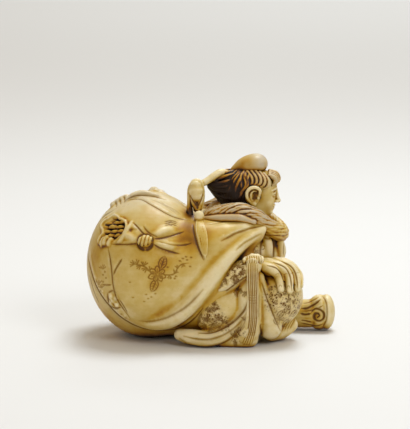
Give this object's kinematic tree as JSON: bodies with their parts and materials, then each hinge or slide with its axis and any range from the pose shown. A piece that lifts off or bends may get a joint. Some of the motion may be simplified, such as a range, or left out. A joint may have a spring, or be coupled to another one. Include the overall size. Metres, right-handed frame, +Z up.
{
  "type": "okimono",
  "caption": "Small carved ornament of a seated man in a brocade robe who leans back on a large tied sack, one hand on his knee and one booted leg stretched out.",
  "frame": {"origin": "on the ground plane, under the middle of the carving", "axes": "+X along the length, from the sack to the outstretched foot; +Y away from the front; +Z up"},
  "size_m": [0.0556, 0.0344, 0.0413],
  "materials": {
    "ivory": "satin aged ivory, stained brown in the recesses"
  },
  "bodies": {
    "root": {"carving": "ivory"}
  },
  "joints": []
}
